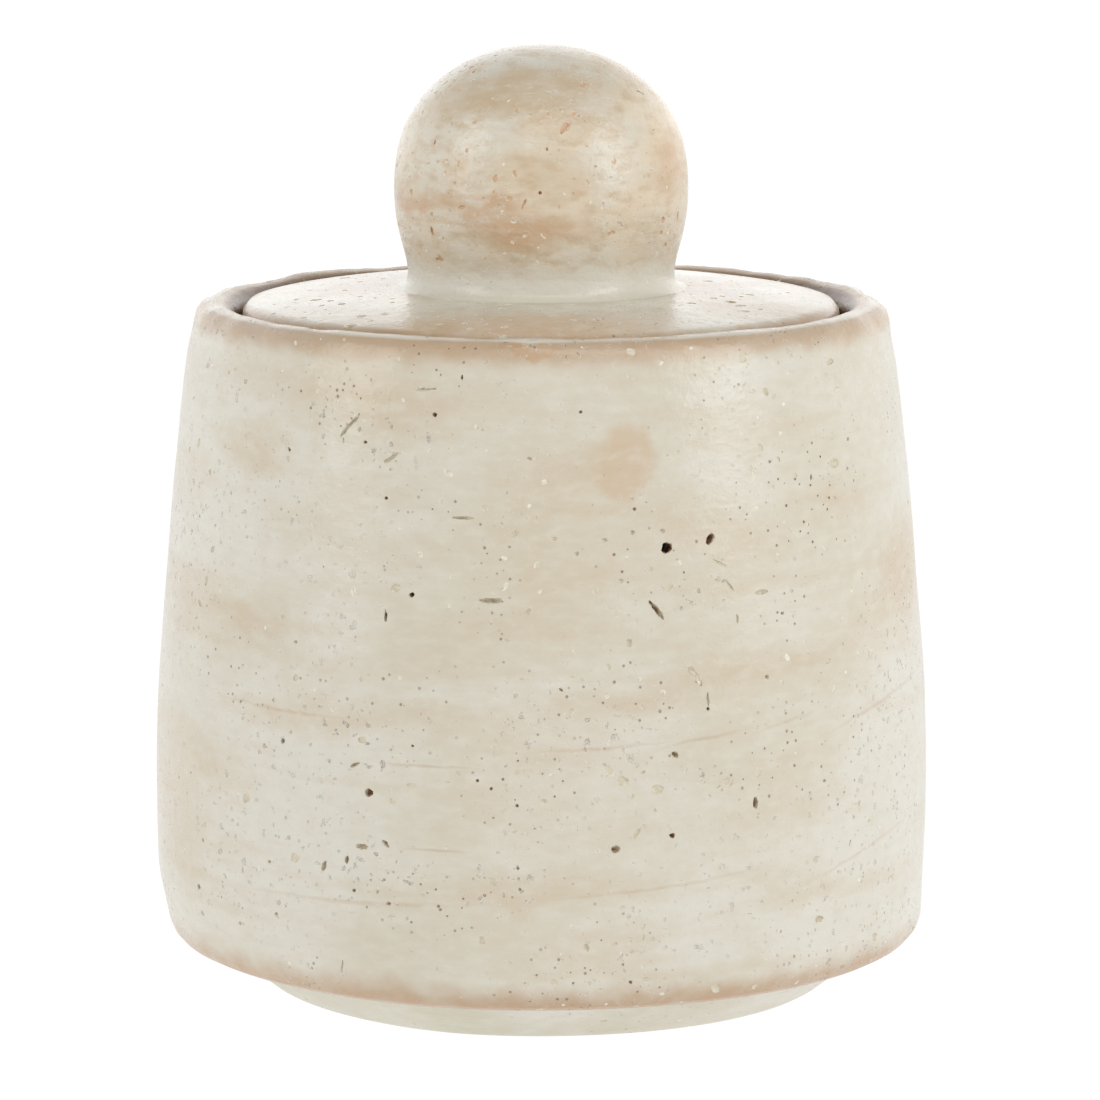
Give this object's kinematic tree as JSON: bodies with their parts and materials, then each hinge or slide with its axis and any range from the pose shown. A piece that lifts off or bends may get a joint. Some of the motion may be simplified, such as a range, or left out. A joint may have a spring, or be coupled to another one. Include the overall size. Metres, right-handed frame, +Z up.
{
  "type": "lidded ceramic jar",
  "caption": "Round lidded stoneware jar with a swelling wall, recessed foot ring, and a flat lid with a hollow ball knob that rests on a seat ring inside the rim.",
  "frame": {"origin": "the middle of the foot ring's underside, where the jar stands", "axes": "+Z up along the axis the jar, the lid and the knob were turned on; +X and +Y are any two level directions, and the picture looks along +Y"},
  "size_m": [0.16, 0.16, 0.1933],
  "materials": {
    "glazed_stoneware": "satin",
    "foot_stoneware": "matte"
  },
  "bodies": {
    "jar": {"jar_body": "glazed_stoneware", "foot_ring": "foot_stoneware", "lid_seat": "glazed_stoneware"},
    "lid": {"lid_plate": "glazed_stoneware", "knob_ball": "glazed_stoneware", "knob_coil": "glazed_stoneware"}
  },
  "joints": [
    {"name": "lid_lift", "type": "slide", "parent": "jar", "child": "lid", "axis": [0, 0, 1], "range_m": [0, 0.15]}
  ]
}
